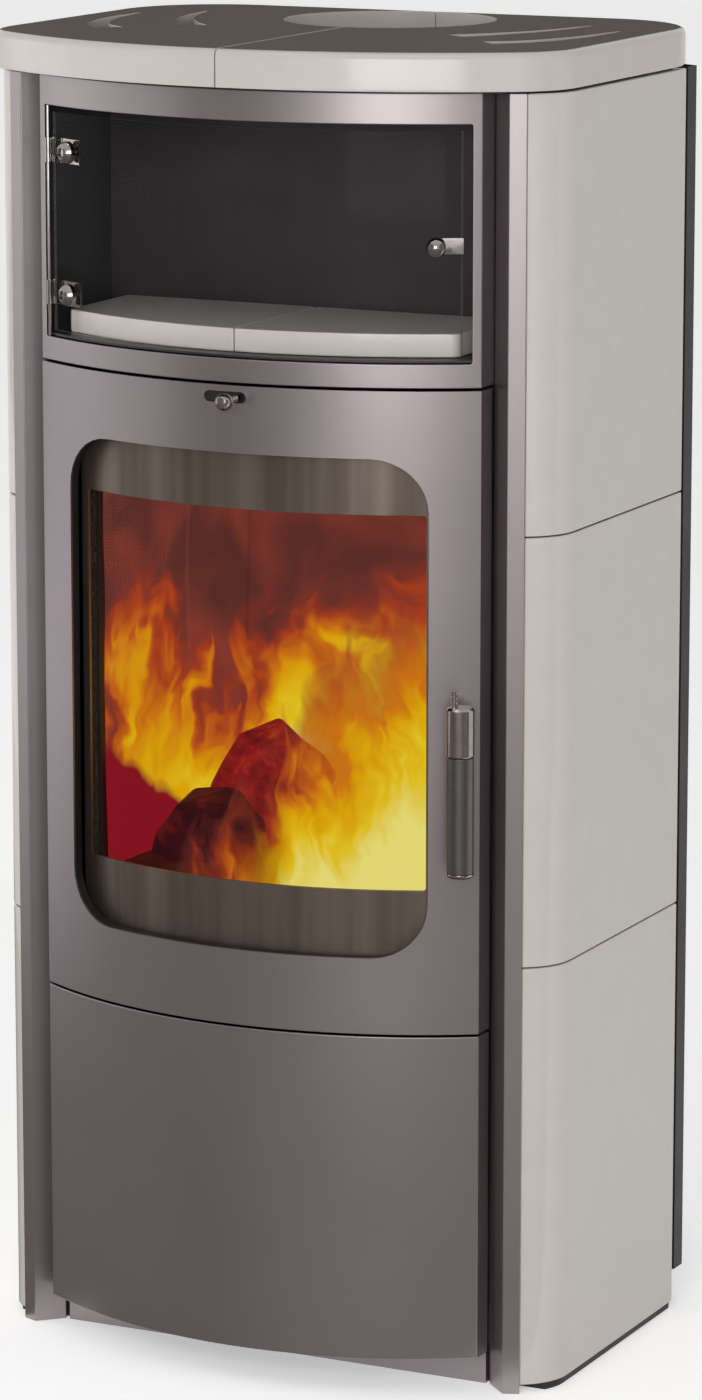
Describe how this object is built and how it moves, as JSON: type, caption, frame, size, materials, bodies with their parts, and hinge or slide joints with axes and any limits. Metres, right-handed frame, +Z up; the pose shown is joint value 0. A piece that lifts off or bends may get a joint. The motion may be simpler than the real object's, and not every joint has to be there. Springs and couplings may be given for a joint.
{
  "type": "tiled wood stove",
  "caption": "Tall wood-burning stove with a curved steel front, glazed warming compartment, fire door with large window, lower log door, ceramic side tiles and ceramic top with a flue hole.",
  "frame": {"origin": "on the floor, on the underside of the base plate, under the middle of the ceramic top in plan", "axes": "+Z up, -Y to the front of the stove, +X to the right as seen from above with the front towards -Y"},
  "size_m": [0.564, 0.4728, 1.2],
  "materials": {
    "glaze": "glossy warm grey glaze",
    "steel": "satin metallic grey-brown paint",
    "black_steel": "matt heat-resistant dark paint",
    "chrome": "polished",
    "satin": "fine satin",
    "window_glass": "clear fire-resistant glass",
    "clear_glass": "clear polished glass",
    "iron": "dark, as cast",
    "fireclay": "unglazed, smoke-stained",
    "rope": "knitted glass-fibre rope",
    "firewood": "charred split log"
  },
  "bodies": {
    "stove": {"ash_pan": "black_steel", "baffle_plate": "fireclay", "base_plate": "black_steel", "ceramic_top_left": "glaze", "ceramic_top_right": "glaze", "fire_door_pin_lower": "black_steel", "fire_door_pin_upper": "black_steel", "firebox_front": "black_steel", "firebox_shell": "black_steel", "flue_collar": "black_steel", "front_post_left": "steel", "front_post_right": "steel", "glass_hinge_rod": "chrome", "grate": "iron", "latch_keeper": "iron", "lining_back": "fireclay", "lining_floor": "fireclay", "lining_side_left": "fireclay", "lining_side_right": "fireclay", "log_box": "black_steel", "log_front": "firewood", "log_rear": "firewood", "lower_door_pin_lower": "black_steel", "lower_door_pin_upper": "black_steel", "plinth": "steel", "rear_panel": "black_steel", "shelf_left": "glaze", "shelf_right": "glaze", "side_wall_left": "black_steel", "side_wall_right": "black_steel", "tile_lower_left": "glaze", "tile_lower_right": "glaze", "tile_middle_left": "glaze", "tile_middle_right": "glaze", "tile_upper_left": "glaze", "tile_upper_right": "glaze", "top_sheet": "black_steel", "upper_frame": "steel", "warming_box": "black_steel"},
    "fire_door": {"fire_door_panel": "steel", "glass_collar": "black_steel", "door_glass": "window_glass", "door_frame": "black_steel", "door_seal": "rope", "fire_door_hinge_lower": "black_steel", "fire_door_hinge_upper": "black_steel"},
    "air_control": {"air_slide": "black_steel", "air_knob": "chrome"},
    "door_handle": {"handle_shaft": "chrome", "handle_sleeve": "chrome", "handle_grip": "satin", "handle_ring": "chrome"},
    "warming_door": {"warming_glass": "clear_glass", "glass_clamp_lower": "chrome", "glass_clamp_upper": "chrome", "warming_knob": "chrome"},
    "lower_door": {"lower_door_panel": "steel", "lower_door_hinge_lower": "black_steel", "lower_door_hinge_upper": "black_steel"}
  },
  "joints": [
    {"name": "fire_door_hinge", "type": "hinge", "parent": "stove", "child": "fire_door", "pos_m": [-0.2, -0.136, 0.62], "axis": [0, 0, -1], "range_deg": [0, 105]},
    {"name": "air_control_turn", "type": "hinge", "parent": "fire_door", "child": "air_control", "pos_m": [0, 0.1895, 0.896], "axis": [0, 0, 1], "range_deg": [-3.86, 0]},
    {"name": "handle_turn", "type": "hinge", "parent": "fire_door", "child": "door_handle", "pos_m": [0.2, -0.15691, 0.612], "axis": [0.5, -0.866, 0], "range_deg": [0, 60]},
    {"name": "warming_door_hinge", "type": "hinge", "parent": "stove", "child": "warming_door", "pos_m": [-0.2055, -0.1522, 1.0335], "axis": [0, 0, -1], "range_deg": [0, 110]},
    {"name": "lower_door_hinge", "type": "hinge", "parent": "stove", "child": "lower_door", "pos_m": [-0.2, -0.136, 0.18], "axis": [0, 0, -1], "range_deg": [0, 105]}
  ]
}
